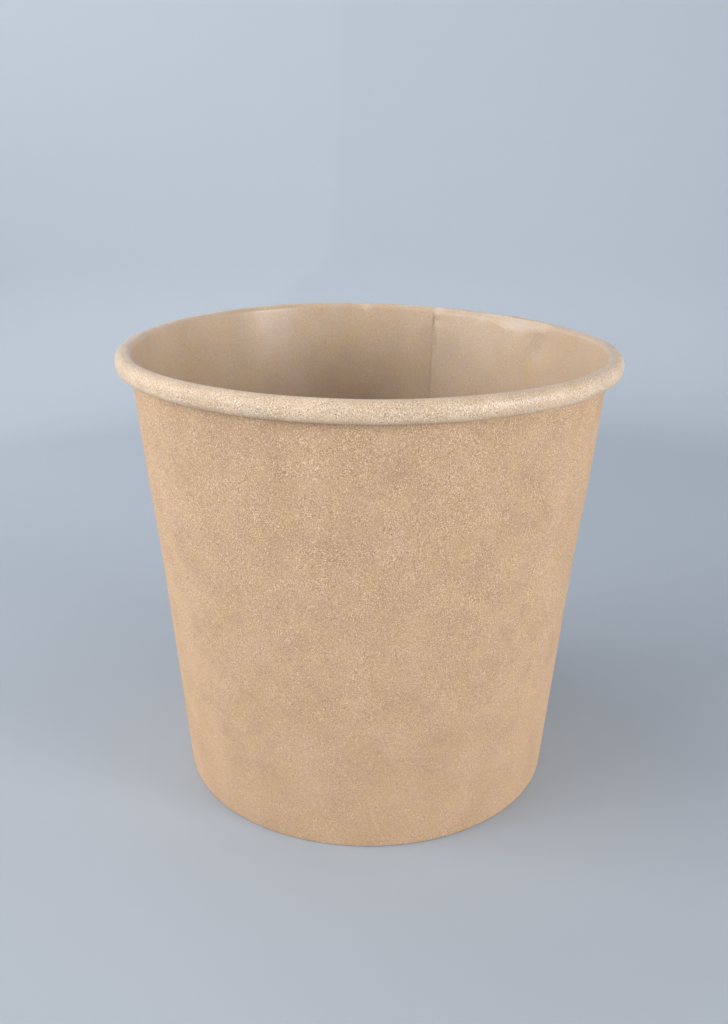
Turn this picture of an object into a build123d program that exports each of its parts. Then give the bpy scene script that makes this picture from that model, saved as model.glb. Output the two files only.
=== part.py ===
from build123d import *

import os
from math import asin, atan2, cos, degrees, hypot, sin, tan

# A round, tapered soup container of kraft board, rolled from two blanks:
# a side wall with a lapped seam, a rolled rim and a hem, and a base disc
# whose turned-down skirt the hem holds.
# Z is the axis, the table is at zero, and the seam's lap is centred on +Y.

# Outline
rim_diameter = 117.0
height = 106.5
foot_diameter = 91.0

# Board
board = 0.45
base_board = 0.40

# Rolled rim: its outside radius, the upright stretch on its outside,
# and the coil that its tucked end makes beside the wall
roll_radius = 2.10
roll_upright = 0.45
roll_gap = 0.10
tuck_coil = 0.25
tuck_turn = 70.0

# Hem: how far the blank's lower edge is turned up inside,
# the bend's inside radius, and how far the foot is pressed flat
hem_height = 8.0
hem_bend = 0.10
foot_press = 0.08

# Base: the bend from the disc to its skirt, how far that bend stays above
# the hem, and the film that seals the skirt between the wall and the hem
base_bend = 1.2
hem_headroom = 0.8
seal_film = 0.03

# Side seam, measured round the rim
seam_lap = 8.0
seam_step = 1.6

# A bend is drawn as flats, to keep its facets few: this many a quarter turn
# in the rolled rim, in the tighter bends, and in the folds and the tucked end
roll_flats = 3
tight_flats = 2
fold_flats = 1

# The wall leans so that its face is tangent to the rolled rim
rim_radius = rim_diameter / 2
foot_radius = foot_diameter / 2
roll_centre = Vector(rim_radius - roll_radius, height - roll_radius)
roll_run = roll_centre.X - foot_radius
roll_rise = roll_centre.Y
roll_lean = asin((roll_radius - board) / hypot(roll_run, roll_rise))
taper = atan2(roll_run, roll_rise) - roll_lean
up_wall = Vector(sin(taper), cos(taper))
out_of_wall = Vector(cos(taper), -sin(taper))

# The pocket between the wall and the hem holds the skirt and two films
pocket = base_board + 2 * seal_film
pocket_floor = board - foot_press
base_height = hem_height + hem_headroom + base_bend

taper_deg = degrees(taper)
lap_deg = degrees(seam_lap / rim_radius)
step_deg = degrees(seam_step / rim_radius)
seam_deg = 90.0


def wall_radius(z, depth):
    """Radius of the wall at a height and at a depth in from its bare face."""
    return foot_radius + z * tan(taper) - depth / cos(taper)


def bend(start, heading, radius, turn, flats):
    """A bend of the board, drawn as flats between points of its arc.
    Returns its end and the heading there. A positive turn is anticlockwise."""
    arc = JernArc(start, heading, radius, turn, mode=Mode.PRIVATE)
    Polyline(*[arc @ (i / flats) for i in range(flats + 1)])
    return arc @ 1, arc % 1


def blank_line(depth):
    """The side wall's section line, from the hem's edge to the rim's tucked end,
    at a depth into the board from its coated face."""
    fold = hem_bend + depth
    roll = roll_radius - depth
    coil = roll_radius - board - roll_gap - depth
    fold_height = pocket_floor + hem_bend
    outer_fold = Vector(wall_radius(fold_height, board + hem_bend), fold_height)
    inner_fold = outer_fold - Vector((pocket - 2 * hem_bend) / cos(taper), 0)
    hem_foot = inner_fold - out_of_wall * fold
    hem_run = (hem_height - hem_foot.Y) / cos(taper)
    wall_top = roll_centre - out_of_wall * roll
    with BuildLine() as line:
        Line(hem_foot + up_wall * hem_run, hem_foot)
        end, heading = bend(hem_foot, -up_wall, fold, 90 + taper_deg, fold_flats)
        foot = Line(end, end + outer_fold - inner_fold)
        end, heading = bend(foot @ 1, heading, fold, 90 - taper_deg, fold_flats)
        Line(end, wall_top)
        end, heading = bend(wall_top, up_wall, roll, taper_deg - 90, roll_flats)
        end, heading = bend(end, heading, roll, -90, roll_flats)
        side = Line(end, end - Vector(0, roll_upright))
        end, heading = bend(side @ 1, heading, roll, -90, roll_flats)
        end, heading = bend(end, heading, coil, -90, tight_flats)
        bend(end, heading, coil - tuck_coil, -tuck_turn, fold_flats)
    return line.line


def blank_section(near, far):
    """The board's section between two depths from its coated face."""
    coated = blank_line(near)
    bare = blank_line(far)
    with BuildSketch() as section:
        with BuildLine():
            add(coated)
            add(bare)
            Line(coated @ 0, bare @ 0)
            Line(coated @ 1, bare @ 1)
        make_face()
    return section.sketch


def at_azimuth(section, azimuth):
    """Stand a section up on the plane through the axis at an azimuth."""
    return Rot(Z=azimuth) * (Plane.XZ * section)


def make_sidewall():
    """One blank rolled to a cone: its first edge is inside the seam,
    and its last edge steps outward over it and laps it."""
    single = blank_section(0, board)
    lapped = blank_section(board, 2 * board)
    inner_edge = seam_deg - lap_deg / 2
    cone = revolve(at_azimuth(single, inner_edge), Axis.Z, 360 - step_deg)
    step = loft([at_azimuth(single, inner_edge - step_deg), at_azimuth(lapped, inner_edge)])
    lap = revolve(at_azimuth(lapped, inner_edge), Axis.Z, lap_deg)
    return split(cone + step + lap, bisect_by=Plane.XY, keep=Keep.TOP)


def make_base_disc():
    """A disc with its edge turned down into the pocket of the hem."""
    bend_height = base_height - base_bend
    bend_centre = Vector(wall_radius(bend_height, board + seal_film + base_bend), bend_height)
    skirt_top = bend_height - base_bend * sin(taper)
    skirt_run = (skirt_top - pocket_floor - hem_bend) / cos(taper)
    lines = []
    for depth in (0, base_board):
        with BuildLine() as line:
            disc = Line((0, base_height - depth), (bend_centre.X, base_height - depth))
            end, heading = bend(disc @ 1, disc % 1, base_bend - depth, -(90 + taper_deg), tight_flats)
            Line(end, end + heading * skirt_run)
        lines.append(line.line)
    upper, lower = lines
    with BuildSketch() as section:
        with BuildLine():
            add(upper)
            add(lower)
            Line(upper @ 0, lower @ 0)
            Line(upper @ 1, lower @ 1)
        make_face()
    return revolve(at_azimuth(section.sketch, 0), Axis.Z)


os.makedirs("parts", exist_ok=True)
export_step(make_sidewall(), "parts/sidewall.step")
export_step(make_base_disc(), "parts/base_disc.step")
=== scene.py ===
from math import asin, atan2, cos, degrees, hypot, pi, radians, sin, tan

import bmesh
import bpy
from mathutils import Matrix, Vector


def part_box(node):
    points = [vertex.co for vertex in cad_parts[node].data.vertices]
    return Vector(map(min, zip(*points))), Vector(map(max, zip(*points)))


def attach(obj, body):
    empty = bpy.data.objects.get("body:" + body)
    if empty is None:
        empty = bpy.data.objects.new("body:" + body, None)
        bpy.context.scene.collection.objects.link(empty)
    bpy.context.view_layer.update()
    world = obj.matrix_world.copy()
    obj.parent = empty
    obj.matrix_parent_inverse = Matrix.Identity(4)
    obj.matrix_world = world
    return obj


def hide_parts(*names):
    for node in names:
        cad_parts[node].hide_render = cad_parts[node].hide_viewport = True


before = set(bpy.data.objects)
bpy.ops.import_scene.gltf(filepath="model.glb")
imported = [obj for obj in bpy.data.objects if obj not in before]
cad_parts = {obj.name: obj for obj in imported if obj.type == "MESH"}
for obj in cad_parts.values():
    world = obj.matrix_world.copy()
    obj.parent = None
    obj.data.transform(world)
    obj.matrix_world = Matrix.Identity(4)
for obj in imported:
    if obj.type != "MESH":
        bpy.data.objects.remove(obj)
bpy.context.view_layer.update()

MM = 0.001

# Azimuths are in degrees from +X. The photograph's view is turned by this much about the axis.
STAGE_AZIMUTH = 15.1

# Outline: the height, the rim and the base's top come from the frame
_, wall_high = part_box("sidewall")
_, disc_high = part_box("base_disc")
HEIGHT = wall_high[2]
RIM_RADIUS = wall_high[0]
BASE_TOP = disc_high[2]
FOOT_RADIUS = 45.5 * MM

# Board
BOARD = 0.45 * MM
BASE_BOARD = 0.40 * MM

# Rolled rim: its outside radius, the tighter one of its shoulder inside the container, the upright stretch
# on its outside, and the coil that its tucked end makes beside the wall
ROLL_RADIUS = 2.10 * MM
SHOULDER_RADIUS = 1.30 * MM
ROLL_UPRIGHT = 0.45 * MM
ROLL_GAP = 0.10 * MM
TUCK_COIL = 0.25 * MM
TUCK_TURN = 70.0

# Hem, and the base whose skirt it holds
HEM_HEIGHT = 8.0 * MM
HEM_BEND = 0.10 * MM
BASE_BEND = 1.2 * MM
BASE_SAG = 0.35 * MM
SKIRT_END = 2.5 * BOARD
SEAL_FILM = 0.03 * MM

# Side seam, measured round the rim: the lap, the outer layer's way out to it, and the film between the layers
SEAM_AZIMUTH = 90.0
SEAM_LAP = 8.0 * MM
SEAM_STEP = 6.5 * MM
SEAM_FILM = 0.02 * MM

# The wall leans so that its coated face is tangent to the rolled rim
roll_centre = Vector((RIM_RADIUS - ROLL_RADIUS, 0, HEIGHT - ROLL_RADIUS))
roll_lean = asin((ROLL_RADIUS - BOARD) / hypot(roll_centre.x - FOOT_RADIUS, roll_centre.z))
taper = atan2(roll_centre.x - FOOT_RADIUS, roll_centre.z) - roll_lean
up_wall = Vector((sin(taper), 0, cos(taper)))
out_of_wall = Vector((cos(taper), 0, -sin(taper)))
shoulder_rise = ROLL_RADIUS - SHOULDER_RADIUS
shoulder_centre = roll_centre + shoulder_rise * Vector(((sin(taper) - 1) / cos(taper), 0, 1))
wall_top = shoulder_centre - out_of_wall * SHOULDER_RADIUS
pocket = BASE_BOARD + 2 * SEAL_FILM
layer = BOARD + SEAM_FILM
lap_turn = degrees(SEAM_LAP / RIM_RADIUS)
step_turn = degrees(SEAM_STEP / RIM_RADIUS)
first_edge = SEAM_AZIMUTH - lap_turn / 2
last_edge = first_edge + 360 + lap_turn


def ease(value):
    """Eases from 0 to 1."""
    value = min(max(value, 0.0), 1.0)
    return value * value * (3 - 2 * value)


def hump(offset, reach):
    """1 at an offset of 0, easing to 0 at a reach to either side."""
    return 1 - ease(abs(offset) / reach)


def wall_radius(height, depth):
    """Radius of the wall at a height and at a depth in from its bare face."""
    return FOOT_RADIUS + height * tan(taper) - depth / cos(taper)


# The wall has wide rows up to this share of its height and close ones above, for the creases
PLAIN_SHARE = 0.86


# A board's section is drawn by a travelling tip in the plane of X and Z
def start_section(place):
    bm = bmesh.new()
    return bm, bmesh.ops.create_vert(bm, co=place)["vert"][0]


def run_straight(bm, tip, end, rows):
    """Draws the section on from its tip to a point, in even rows."""
    stride = (end - tip.co) / rows
    for _ in range(rows):
        tip = bmesh.ops.extrude_vert_indiv(bm, verts=[tip])["verts"][0]
        bmesh.ops.translate(bm, verts=[tip], vec=stride)
    return tip


def run_bend(bm, tip, centre, turn, rows):
    """Draws the section on round a centre; a positive turn is clockwise with X to the right and Z up."""
    made = bmesh.ops.spin(bm, geom=[tip], cent=centre, axis=(0, 1, 0), angle=radians(turn), steps=rows)
    return [part for part in made["geom_last"] if isinstance(part, bmesh.types.BMVert)][0]


def spin_round(bm, steps):
    """Spins a section all the way round the axis and closes it."""
    ring = bm.verts[:] + bm.edges[:]
    bmesh.ops.spin(bm, geom=ring, cent=(0, 0, 0), axis=(0, 0, 1), angle=2 * pi, steps=steps, use_merge=True)
    bmesh.ops.remove_doubles(bm, verts=bm.verts, dist=0.001 * MM)


def draw_blank():
    """The side wall's coated face: down the hem, round the fold, up the wall,
    over the rolled rim and into its coil."""
    fold_height = BOARD + HEM_BEND
    outer_fold = Vector((wall_radius(fold_height, BOARD + HEM_BEND), 0, fold_height))
    inner_fold = outer_fold - Vector(((pocket - 2 * HEM_BEND) / cos(taper), 0, 0))
    hem_foot = inner_fold - out_of_wall * HEM_BEND
    hem_top = hem_foot + up_wall * (HEM_HEIGHT - hem_foot.z) / cos(taper)
    wall_foot = outer_fold + out_of_wall * HEM_BEND
    coil = ROLL_RADIUS - BOARD - ROLL_GAP
    under_centre = roll_centre - Vector((0, 0, ROLL_UPRIGHT))
    coil_centre = under_centre - Vector((0, 0, ROLL_RADIUS - coil))
    tuck_centre = coil_centre - Vector((TUCK_COIL, 0, 0))
    bm, tip = start_section(hem_top)
    tip = run_straight(bm, tip, hem_foot, 5)
    tip = run_bend(bm, tip, inner_fold, -(90 + degrees(taper)), 4)
    tip = run_straight(bm, tip, outer_fold - Vector((0, 0, HEM_BEND)), 1)
    tip = run_bend(bm, tip, outer_fold, -(90 - degrees(taper)), 4)
    tip = run_straight(bm, tip, wall_foot + (wall_top - wall_foot) * PLAIN_SHARE, 12)
    tip = run_straight(bm, tip, wall_top, 30)
    tip = run_bend(bm, tip, shoulder_centre, 90 - degrees(taper), 8)
    tip = run_straight(bm, tip, roll_centre + Vector((0, 0, ROLL_RADIUS)), 2)
    tip = run_bend(bm, tip, roll_centre, 90, 7)
    tip = run_straight(bm, tip, tip.co - Vector((0, 0, ROLL_UPRIGHT)), 1)
    tip = run_bend(bm, tip, under_centre, 90, 5)
    tip = run_bend(bm, tip, coil_centre, 90, 3)
    run_bend(bm, tip, tuck_centre, TUCK_TURN, 2)
    return bm


NOTES = ("radius", "height", "out", "down", "rolled", "pressed")

# The film starts to stretch this far out from the wall, as a share of the roll's radius, and is stretched
# fully this much further out. The rim's lighter tone, partly painted light, follows the same share.
STRETCH_START = 0.12
STRETCH_REACH = 0.8


def note_section(bm):
    """Writes on each point its radius and height, the way to the board's bare face, whether it is
    in the rolled rim and, as 0 for now, how far it is pressed. Every ring that is spun from the section
    then carries these notes."""
    notes = [bm.verts.layers.float.new(name) for name in NOTES]
    chain = list(bm.verts)
    for i, vert in enumerate(chain):
        along = (chain[min(i + 1, len(chain) - 1)].co - chain[max(i - 1, 0)].co).normalized()
        rolled = ease(((vert.co.x - wall_top.x) / ROLL_RADIUS - STRETCH_START) / STRETCH_REACH)
        for note, value in zip(notes, (vert.co.x, vert.co.z, along.z, along.x, rolled, 0.0)):
            vert[note] = value
    return notes


# The rings climb by this much a degree while they are spun, which tells the blank's two ends apart
CLIMB = 1 * MM


def spin_blank(bm, stretches):
    """Spins a section about the axis in stretches of (end, steps), from the blank's first edge on."""
    ring = bm.verts[:] + bm.edges[:]
    start = first_edge
    bmesh.ops.rotate(bm, verts=bm.verts, cent=(0, 0, 0), matrix=Matrix.Rotation(radians(start), 3, "Z"))
    for end, steps in stretches:
        made = bmesh.ops.spin(bm, geom=ring, cent=(0, 0, 0), axis=(0, 0, 1), angle=radians(end - start),
                              dvec=(0, 0, CLIMB * (end - start) / steps), steps=steps)
        ring = made["geom_last"]
        start = end


# How the rim has gone out of true, as (turns, along, across) in millimetres; it fades away from the rim,
# its height by this power of the way up
HEIGHT_FADE = 8
RIM_HEIGHT_WAVES = ((0, -0.50, 0.0), (1, -0.285, -0.12), (2, -0.27, -0.286), (3, 0.123, -0.150))
RIM_RADIUS_WAVES = ((2, -0.640, -0.022), (7, 0.030, 0.045), (11, -0.035, 0.020), (17, 0.015, -0.020))

# The wall flares out by this much, from this share of its height on over this share,
# and the rolled rim, whose outside stays where it is, is that much narrower
FLARE = 0.55 * MM
FLARE_START = 0.501
FLARE_SHARE = 0.30
FLARE_REACH = 1.7 * ROLL_RADIUS

# The lap, which is stiffer, lies this much flatter than the round wall,
# over this share of its turn to each side
LAP_CHORD = 0.14 * MM
LAP_REACH = 0.55 * lap_turn

# Where handling has pressed the rim's inner shoulder flat: (azimuth, height that the flat reaches down to)
SHOULDER_LINE = (
    (40.0, 105.4), (46.0, 105.0), (51.0, 104.2), (55.5, 102.9), (58.5, 101.5), (60.3, 100.9),
    (62.9, 102.9), (66.2, 104.5), (68.5, 105.0), (71.4, 105.0), (72.2, 105.2), (82.0, 105.0),
    (86.0, 104.6), (86.4, 105.4), (103.5, 105.4), (106.0, 104.6), (110.0, 105.4), (113.9, 105.4),
    (114.4, 105.0), (116.0, 105.4), (140.0, 105.4),
)

# Where the film has been pressed in by this much, a painted highlight lightens it by this share, for the glow
# of the pressed flats
PAINTED_HIGHLIGHT_PRESS = 0.35 * MM
PAINTED_HIGHLIGHT_SHARE = 0.16

# Creases pressed into the wall under the rim, as (azimuth and height at the top, azimuth and height
# at the foot, reach to the left, reach to the right, depth), with the reaches in degrees and the depth
# out from the axis. A crease starts to fade at a share of its length, and goes on above its top by another.
CREASES = (
    (45.8, 106.5, 53.8, 92.0, 4.5, 7.0, 0.55),
    (60.6, 101.4, 60.8, 97.6, 1.6, 1.2, 0.14),
    (71.4, 106.5, 71.6, 103.5, 1.2, 1.6, 0.10),
    (114.3, 106.5, 114.5, 102.5, 1.2, 2.2, 0.22),
    (85.2, 101.0, 84.0, 92.0, 1.2, 2.4, 0.10),
)
CREASE_FADE = 4 / 9
CREASE_OVERRUN = 0.3

# The seam's heated bar and the rim's rolling tool have pressed the lap's cut edges to these shares
# of the board over this turn. Round this height, between the two, they stand proud, because this share
# of the pressing is missing.
INNER_EDGE_SHARE = 0.03
OUTER_EDGE_SHARE = 0.40
PRESSED_TURN = 2.6
PROUD_HEIGHT = 103.0 * MM
PROUD_REACH = 2.2 * MM
PROUD_SHARE = 0.6


def sum_waves(waves, azimuth):
    """Adds up waves round the rim at an azimuth."""
    angle = radians(azimuth - STAGE_AZIMUTH)
    total = 0.0
    for turns, along, across in waves:
        total += along * cos(turns * angle) + across * sin(turns * angle)
    return total * MM


def along_line(points, place):
    """Reads a line of (place, value) points."""
    if place <= points[0][0]:
        return points[0][1]
    for (near, low), (far, high) in zip(points, points[1:]):
        if place <= far:
            return low + (high - low) * (place - near) / (far - near)
    return points[-1][1]


def crease_depth(azimuth, height):
    """How far the creases push the wall out at a place on it."""
    depth = 0.0
    for top_azimuth, top, foot_azimuth, foot, left, right, deep in CREASES:
        share = (top - height / MM) / (top - foot)
        if -CREASE_OVERRUN < share < 1:
            offset = azimuth - (top_azimuth + (foot_azimuth - top_azimuth) * share)
            reach = left if offset > 0 else right
            fade = ease((share - CREASE_FADE) / (1 - CREASE_FADE))
            depth += deep * max(0.0, 1 - abs(offset) / reach) * (1 - fade)
    return depth * MM


def press_shoulder(azimuth, radius, height):
    """Moves a point of the rolled rim's inner shoulder out to the flat that has been pressed there,
    which still bulges by a twentieth of its length."""
    low = along_line(SHOULDER_LINE, azimuth) * MM
    start = Vector((wall_radius(low, BOARD), low))
    crown = Vector((shoulder_centre.x, HEIGHT))
    if not (start.y < height < crown.y and radius < crown.x):
        return radius
    share = (height - start.y) / (crown.y - start.y)
    bulge = 0.05 * sin(pi * share) * (crown - start).length
    flat = max(radius, start.x + (crown.x - start.x) * share - bulge)
    return radius + (flat - radius) * ease((wall_top.z - low) / MM)


# Up to this share of the hem's height, the lap's layers lie one above the other, as the fold's do
FOLD_SHARE = 0.1


def step_up(share):
    """The outer layer's way out to the lap, which leaves the single board gently
    and meets the cut edge at a slope."""
    return min(max(share, 0.0), 1.0) ** 2


def board_share(to_edge, height, least):
    """What share of its thickness the board keeps at a turn from its cut edge and at a height."""
    pressed = hump(to_edge, PRESSED_TURN) * (1 - PROUD_SHARE * hump(height - PROUD_HEIGHT, PROUD_REACH))
    return 1 - pressed * ease(height / HEM_HEIGHT - 1) * (1 - least)


def shape_blank(bm, notes):
    """Laps the blank over itself at the seam and gives it the real one's small faults of shape.
    Returns the board's share of its thickness at each point."""
    radius_note, height_note, out_note, down_note, _, pressed_note = notes
    shares = []
    for vert in bm.verts:
        radius, height = vert[radius_note], vert[height_note]
        turn = first_edge + (vert.co.z - height) / CLIMB
        outside = turn > SEAM_AZIMUTH + 180
        azimuth = turn - 360 if outside else turn
        near_foot = 1 - ease(height / HEM_HEIGHT - FOLD_SHARE)
        if vert[out_note] > 0 and (height > wall_top.z or radius < wall_radius(height, 0)):
            radius = press_shoulder(azimuth, radius, height)
            vert[pressed_note] = ease((radius - vert[radius_note]) / PAINTED_HIGHLIGHT_PRESS)
        if outside:
            under = board_share(max(0.0, azimuth - first_edge), height, INNER_EDGE_SHARE) * BOARD
            lift = step_up((azimuth - first_edge) / step_turn + 1) * (under + SEAM_FILM)
            radius += vert[out_note] * lift
            height -= vert[down_note] * lift * (1 - near_foot)
            shares.append(board_share(last_edge - turn, height, OUTER_EDGE_SHARE))
        else:
            height += step_up((first_edge + lap_turn - azimuth) / step_turn + 1) * layer * near_foot
            shares.append(board_share(turn - first_edge, height, INNER_EDGE_SHARE))
        rise = min(max(height / HEIGHT, 0.0), 1.0)
        flare = FLARE * ease((rise - FLARE_START) / FLARE_SHARE)
        flare *= min(1.0, (RIM_RADIUS - vert[radius_note]) / FLARE_REACH)
        chord = LAP_CHORD * max(0.0, 1 - ((azimuth - SEAM_AZIMUTH) / LAP_REACH) ** 2)
        radius += (sum_waves(RIM_RADIUS_WAVES, azimuth) - chord) * rise + flare
        radius += crease_depth(azimuth, height)
        height += sum_waves(RIM_HEIGHT_WAVES, azimuth) * rise ** HEIGHT_FADE
        vert.co = Matrix.Rotation(radians(turn), 3, "Z") @ Vector((radius, 0, height))
    return shares


def face_towards(bm, probe, target):
    """Turns the faces over if the one nearest a probe looks away from a target."""
    bmesh.ops.recalc_face_normals(bm, faces=bm.faces)
    nearest = min(bm.faces, key=lambda face: (face.calc_center_median() - probe).length)
    if nearest.normal.dot(target - nearest.calc_center_median()) < 0:
        bmesh.ops.reverse_faces(bm, faces=bm.faces)


# An edge that turns by more than this many degrees is sharp
SHARP_EDGE = 40


def give_thickness(bm, name, materials, thickness, shares=()):
    """Gives a board its thickness, away from its coated face, and sharp cut edges."""
    coated_face = bpy.data.meshes.new(name + "_face")
    bm.to_mesh(coated_face)
    bm.free()
    for material in materials:
        coated_face.materials.append(material)
    piece = bpy.data.objects.new(name, coated_face)
    bpy.context.scene.collection.objects.link(piece)
    board = piece.modifiers.new("board", "SOLIDIFY")
    board.thickness = thickness
    board.offset = -1
    board.use_even_offset = True
    board.material_offset = 1
    board.material_offset_rim = 2
    if shares:
        board.vertex_group = piece.vertex_groups.new(name="board").name
        for index, share in enumerate(shares):
            piece.vertex_groups[0].add([index], share, "REPLACE")
    solid = bpy.data.meshes.new_from_object(piece.evaluated_get(bpy.context.evaluated_depsgraph_get()))
    piece.modifiers.clear()
    piece.vertex_groups.clear()
    piece.data = solid
    bpy.data.meshes.remove(coated_face)
    solid.name = name
    solid.shade_smooth()
    solid.set_sharp_from_angle(angle=radians(SHARP_EDGE))
    return piece


def make_wall(materials):
    """The side wall, whose rings are close by the seam and closest by the creases to the right of it."""
    bm = draw_blank()
    notes = note_section(bm)
    spin_blank(bm, (
        (first_edge + lap_turn + 4, 24),
        (first_edge + 40, 50),
        (first_edge + 310, 250),
        (last_edge, 170),
    ))
    shares = shape_blank(bm, notes)
    face_towards(bm, Vector((0, -wall_radius(HEIGHT / 2, BOARD), HEIGHT / 2)), Vector((0, 0, HEIGHT / 2)))
    return give_thickness(bm, "container_wall", materials, BOARD, shares)


def make_base(materials):
    """The base disc: it sags a little, and its edge bends down into the hem's pocket."""
    bend_height = BASE_TOP - BASE_BEND
    centre = Vector((wall_radius(bend_height, BOARD + SEAL_FILM + BASE_BEND), 0, bend_height))
    bm, tip = start_section(Vector((0, 0, BASE_TOP)))
    tip = run_straight(bm, tip, Vector((centre.x, 0, BASE_TOP)), 24)
    tip = run_bend(bm, tip, centre, 90 + degrees(taper), 6)
    run_straight(bm, tip, tip.co - up_wall * (tip.co.z - SKIRT_END) / cos(taper), 4)
    spin_round(bm, 240)
    for vert in bm.verts:
        if vert.co.z > BASE_TOP - 0.5 * BASE_BEND:
            vert.co.z -= BASE_SAG * hump(hypot(vert.co.x, vert.co.y), centre.x)
    face_towards(bm, Vector((0.2 * centre.x, 0, BASE_TOP)), Vector((0, 0, HEIGHT)))
    return give_thickness(bm, "container_base", materials, BASE_BOARD)


# Materials
def linear(colour):
    """The linear colour of an sRGB hex value."""
    parts = [int(colour[i:i + 2], 16) / 255 for i in (0, 2, 4)]
    return [part / 12.92 if part <= 0.04045 else ((part + 0.055) / 1.055) ** 2.4 for part in parts] + [1.0]


def add(tree, kind, settings):
    """Adds a node with its settings, which are inputs by name or number or else properties.
    An input that is set to another node's output is linked to it.
    Returns the node's first output that is in use."""
    node = tree.nodes.new(kind)
    for name, value in settings.items():
        if not (isinstance(name, int) or name in node.inputs):
            setattr(node, name, value)
        elif isinstance(value, bpy.types.NodeSocket):
            tree.links.new(value, node.inputs[name])
        else:
            node.inputs[name].default_value = value
    return next((socket for socket in node.outputs if socket.enabled), None)


def new_material(name):
    material = bpy.data.materials.new(name)
    material.use_nodes = True
    material.node_tree.nodes.clear()
    return material, material.node_tree


def grain(tree, place, size, stretch=(1, 1, 1), detail=2.0):
    """Noise whose grains are a size in metres, drawn out along the axes by a stretch."""
    spread = [1 / (size * share) for share in stretch]
    mapped = add(tree, "ShaderNodeMapping", {"Vector": place, "Scale": spread})
    return add(tree, "ShaderNodeTexNoise", {"Vector": mapped, "Scale": 1.0, "Detail": detail})


# Kraft board is unbleached softwood pulp, laid wet on a wire and pressed: brown lignin gives it its tone.
# The pulp settles in clouds some millimetres wide, with yellower ones where more of the lignin is left,
# and bits of bark stay in it as dark shives. A real fibre is about 0.04 mm wide and a few millimetres long,
# too fine to show, so the fibres are drawn as specks of 0.21 mm, a little longer up the wall than across.
YELLOWED = "C4A478"
SHIVE = "7A5A3E"
FIBRE = 0.21 * MM


def kraft_colour(tree, place, tones, speckle):
    """Kraft pulp in a base, a light and a dark tone. Its fibres lie in it as light and dark specks,
    stronger in some patches than in others, over its clouds. Speckle is a socket for how strongly
    the specks show."""
    tone, light, dark = tones
    fibres = grain(tree, place, FIBRE, (1, 1, 1.4), 1.5)
    clouds = grain(tree, place, 9.0 * MM, (1, 1, 1.3), 4.0)
    tints = grain(tree, place, 4.5 * MM, (1, 1, 1.2))
    shives = grain(tree, place, 0.35 * MM, (1, 1, 2.5), 0.0)
    patches = grain(tree, place, 3.2 * MM)
    patchy = add(tree, "ShaderNodeMapRange", {
        "Value": patches, "From Min": 0.35, "From Max": 0.65, "To Min": 0.55, "To Max": 1.0})
    strength = add(tree, "ShaderNodeMath", {"operation": "MULTIPLY", 0: patchy, 1: speckle})
    # Each is laid over those before it: not at all at the first value of its noise, and most at the second
    layers = (
        (clouds, 0.35, 0.65, 0.30, dark),
        (tints, 0.40, 0.65, 0.50, linear(YELLOWED)),
        (fibres, 0.52, 0.72, strength, light),
        (fibres, 0.48, 0.28, strength, dark),
        (shives, 0.80, 0.84, 0.40, linear(SHIVE)),
    )
    for noise, none, full, most, colour in layers:
        share = add(tree, "ShaderNodeMapRange", {
            "Value": noise, "From Min": none, "From Max": full, "To Max": most})
        tone = add(tree, "ShaderNodeMix", {"data_type": "RGBA", "Factor": share, 6: tone, 7: colour})
    return tone, fibres


# The tool that presses the base and the hem together irons the fibres down: this share of them shows below
# the first height, and all of them from the second one on
IRONED_SHARE = 0.55
IRONED_HEIGHTS = (15 * MM, 65 * MM)


def finish_bare(name, base, bump):
    """Kraft board as it leaves the press, with no coating, and as it is where the blank was die-cut.
    It is dry and matt, because its fibres stand up a little and scatter the light."""
    material, tree = new_material(name)
    place = add(tree, "ShaderNodeTexCoord", {}).node.outputs["Object"]
    height = add(tree, "ShaderNodeSeparateXYZ", {"Vector": place}).node.outputs["Z"]
    foot, wall = IRONED_HEIGHTS
    ironed = add(tree, "ShaderNodeMapRange", {
        "Value": height, "From Min": foot, "From Max": wall, "To Min": IRONED_SHARE, "To Max": 1.0})
    uneven = add(tree, "ShaderNodeMapRange", {
        "Value": grain(tree, place, 14 * MM), "From Min": 0.3, "From Max": 0.7, "To Min": 0.9, "To Max": 1.2})
    speckle = add(tree, "ShaderNodeMath", {"operation": "MULTIPLY", 0: uneven, 1: ironed})
    tones = (linear(base), linear("E6CCB0"), linear("93724F"))
    colour, fibres = kraft_colour(tree, place, tones, speckle)
    relief = add(tree, "ShaderNodeMath", {"operation": "MULTIPLY", 0: ironed, 1: bump})
    normal = add(tree, "ShaderNodeBump", {"Strength": 1.0, "Height": fibres, "Distance": relief})
    shader = add(tree, "ShaderNodeBsdfPrincipled", {
        "Base Color": colour, "Normal": normal, "Roughness": 0.88, "IOR": 1.5})
    add(tree, "ShaderNodeOutputMaterial", {"Surface": shader})
    return material


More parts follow.
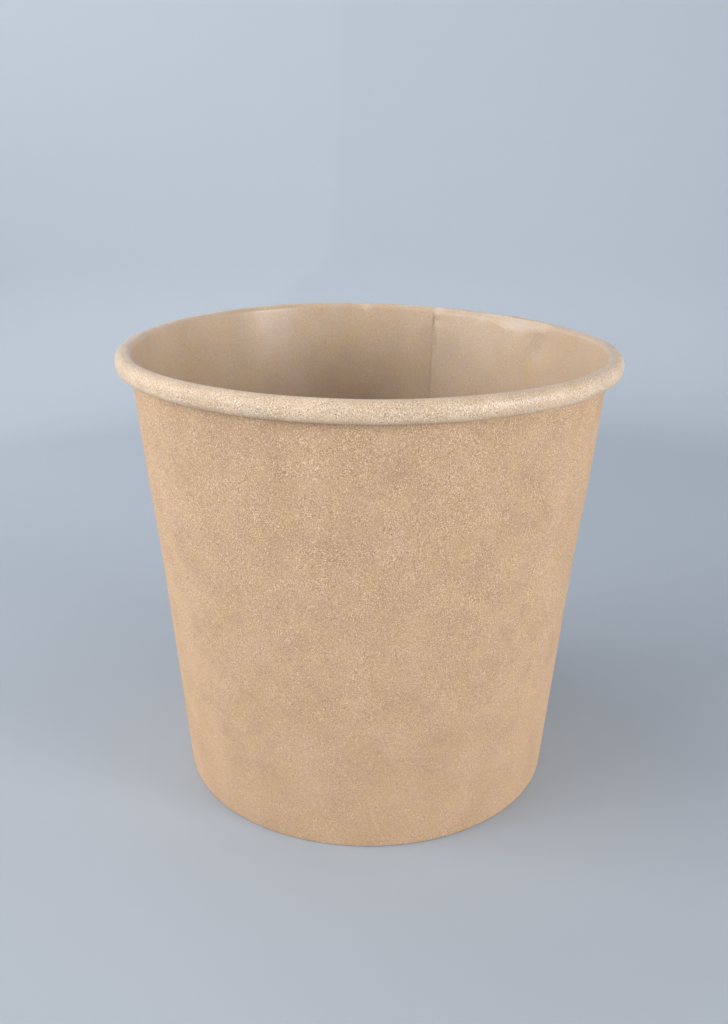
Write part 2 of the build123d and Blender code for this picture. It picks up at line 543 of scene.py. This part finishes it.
def finish_coated(name):
    """Kraft board with a film of polyethylene about 0.02 mm thick, extruded on to it hot, for the soup's
    side. The film takes on the board's ripples. Inside it lies smooth and satin. Its colour there is made
    greyer, partly the coated board's tone and partly a painted reflection of the grey backdrop.
    In the rolled rim it is stretched over the fibres, so they show through it and it glints. Its colour there
    is lighter and warmer, partly the stretched film and partly painted light where the bead faces up into the
    lights.
    Where the rim has been pressed flat, a painted highlight lightens the film a little."""
    material, tree = new_material(name)
    place = add(tree, "ShaderNodeTexCoord", {}).node.outputs["Object"]
    rolled = add(tree, "ShaderNodeAttribute", {"attribute_name": "rolled"}).node.outputs["Fac"]
    pressed = add(tree, "ShaderNodeAttribute", {"attribute_name": "pressed"}).node.outputs["Fac"]
    # Painted light in the base tones: the inside tone is greyer, partly a painted reflection of the grey
    # backdrop, and the rim's tone is lighter, partly painted light on the bead
    base, dark = [
        add(tree, "ShaderNodeMix", {"data_type": "RGBA", "Factor": rolled, 6: linear(inside), 7: linear(rim)})
        for inside, rim in (("C4AA90", "DCBFA0"), ("A3886D", "96754F"))]
    speckle = add(tree, "ShaderNodeMapRange", {"Value": rolled, "To Min": 0.35, "To Max": 1.05})
    # The light specks are whiter than the fibres, partly the fibres' tone and partly a painted highlight for
    # the glints on the bead
    colour, fibres = kraft_colour(tree, place, (base, linear("F2E5D4"), dark), speckle)
    # Painted highlight: the pressed flats are mixed towards a pale colour
    painted_highlight = add(tree, "ShaderNodeMath", {"operation": "MULTIPLY", 0: pressed, 1: PAINTED_HIGHLIGHT_SHARE})
    colour = add(tree, "ShaderNodeMix", {
        "data_type": "RGBA", "Factor": painted_highlight, 6: colour, 7: linear("F0E4D4")})
    relief = add(tree, "ShaderNodeMapRange", {"Value": rolled, "To Min": 0.010 * MM, "To Max": 0.030 * MM})
    fine = add(tree, "ShaderNodeBump", {"Strength": 1.0, "Height": fibres, "Distance": relief})
    ripple = grain(tree, place, 1.4 * MM, (1, 1, 1.5))
    normal = add(tree, "ShaderNodeBump", {
        "Strength": 1.0, "Height": ripple, "Distance": 0.02 * MM, "Normal": fine})
    film = add(tree, "ShaderNodeMapRange", {
        "Value": grain(tree, place, 6.0 * MM, (1, 1, 1.6), 3.0),
        "From Min": 0.35, "From Max": 0.65, "To Min": 0.29, "To Max": 0.40})
    stretched = add(tree, "ShaderNodeMapRange", {"Value": rolled, "From Min": 0.7, "To Max": 0.14})
    haze = add(tree, "ShaderNodeMath", {"operation": "ADD", 0: stretched, 1: film})
    shader = add(tree, "ShaderNodeBsdfPrincipled", {
        "Base Color": colour, "Normal": normal, "Roughness": 0.7, "IOR": 1.5,
        "Coat Weight": 1.0, "Coat IOR": 1.5, "Coat Roughness": haze, "Coat Normal": normal})
    add(tree, "ShaderNodeOutputMaterial", {"Surface": shader})
    return material


bare_kraft = finish_bare("bare kraft board", "C39F80", 0.02 * MM)
coated_kraft = finish_coated("coated kraft board")
cut_kraft = finish_bare("cut edge of kraft board", "CDAE8B", 0.03 * MM)

wall = make_wall([coated_kraft, bare_kraft, cut_kraft])
base = make_base([coated_kraft, bare_kraft, cut_kraft])
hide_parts("sidewall")
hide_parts("base_disc")
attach(wall, "root")
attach(base, "root")

# Stage: a round floor that sweeps up into a wall, which light passes through from outside
SWEEP_RADIUS = 400 * MM
SWEEP_BEND = 80 * MM
SWEEP_HEIGHT = 900 * MM


def make_sweep():
    """The floor and the wall round it, of matt backdrop paper: plain and pale, with no texture that shows."""
    bm, tip = start_section(Vector((0, 0, 0)))
    tip = run_straight(bm, tip, Vector((SWEEP_RADIUS - SWEEP_BEND, 0, 0)), 8)
    tip = run_bend(bm, tip, Vector((SWEEP_RADIUS - SWEEP_BEND, 0, SWEEP_BEND)), -90, 12)
    run_straight(bm, tip, Vector((SWEEP_RADIUS, 0, SWEEP_HEIGHT)), 4)
    spin_round(bm, 96)
    face_towards(bm, Vector((SWEEP_RADIUS, 0, SWEEP_HEIGHT / 2)), Vector((0, 0, SWEEP_HEIGHT / 2)))
    mesh = bpy.data.meshes.new("sweep")
    bm.to_mesh(mesh)
    bm.free()
    mesh.shade_smooth()
    sweep = bpy.data.objects.new("sweep", mesh)
    bpy.context.scene.collection.objects.link(sweep)
    sweep.visible_shadow = False
    material, tree = new_material("matt backdrop paper")
    shader = add(tree, "ShaderNodeBsdfPrincipled", {"Base Color": linear("AAB1B9"), "Roughness": 0.95})
    add(tree, "ShaderNodeOutputMaterial", {"Surface": shader})
    mesh.materials.append(material)


make_sweep()


# The soft boxes look at the container's middle, and the last two at the backdrop behind it on the left
CONTAINER_MIDDLE = Vector((0, 0, 60 * MM))
BACKDROP_LEFT = Matrix.Rotation(radians(STAGE_AZIMUTH), 3, "Z") @ Vector((-240 * MM, 320 * MM, 190 * MM))


def make_light(name, azimuth, elevation, distance, size, power, aim=CONTAINER_MIDDLE):
    """A white soft box, seen from what it looks at: at an azimuth to the right of the camera
    and at an elevation."""
    data = bpy.data.lights.new(name, "AREA")
    data.shape = "RECTANGLE"
    data.size, data.size_y = size
    data.energy = power
    light = bpy.data.objects.new(name, data)
    bpy.context.scene.collection.objects.link(light)
    swing = Matrix.Rotation(radians(STAGE_AZIMUTH + azimuth), 3, "Z")
    lift = Matrix.Rotation(radians(-elevation), 3, "X")
    light.location = aim + swing @ lift @ Vector((0, -distance, 0))
    light.rotation_euler = (aim - light.location).to_track_quat("-Z", "Y").to_euler()
    light.visible_camera = False


make_light("left softbox", -80, 25, 0.9, (0.5, 0.6), 4.7)
make_light("left front softbox", -54, 16, 0.6, (0.28, 0.28), 1.6)
make_light("right softbox", 59, 10, 0.9, (0.35, 0.35), 5.9)
make_light("front softbox", 0, 35, 0.9, (1.2, 0.35), 2.1)
make_light("high right softbox", 95, 58, 0.9, (0.35, 0.35), 0.8)
make_light("backdrop light", 20, 60, 0.4, (0.2, 0.2), 0.5, aim=BACKDROP_LEFT)
make_light("corner light", 30, 20, 0.16, (0.1, 0.1), 0.06, aim=BACKDROP_LEFT)

# The studio is dark, so all the light comes from the soft boxes
world = bpy.data.worlds.new("studio")
world.use_nodes = True
world.node_tree.nodes["Background"].inputs["Strength"].default_value = 0.0
bpy.context.scene.world = world
bpy.context.scene.view_settings.view_transform = "Standard"

# Camera
IMAGE_HEIGHT = 1024
FOCAL_PIXELS = 1040.7
SENSOR = 36.0
CAMERA_PLACE = Vector((-0.96, -240.63, 151.25)) * MM
CAMERA_PITCH = 19.937
CAMERA_ROLL = 0.425


def make_camera():
    data = bpy.data.cameras.new("camera")
    data.sensor_width = SENSOR
    data.lens = FOCAL_PIXELS / IMAGE_HEIGHT * SENSOR
    data.clip_start = 0.01
    camera = bpy.data.objects.new("camera", data)
    bpy.context.scene.collection.objects.link(camera)
    swing = Matrix.Rotation(radians(STAGE_AZIMUTH), 4, "Z")
    pitch = Matrix.Rotation(radians(90 - CAMERA_PITCH), 4, "X")
    roll = Matrix.Rotation(radians(CAMERA_ROLL), 4, "Z")
    camera.matrix_world = swing @ Matrix.Translation(CAMERA_PLACE) @ pitch @ roll
    bpy.context.scene.camera = camera


make_camera()
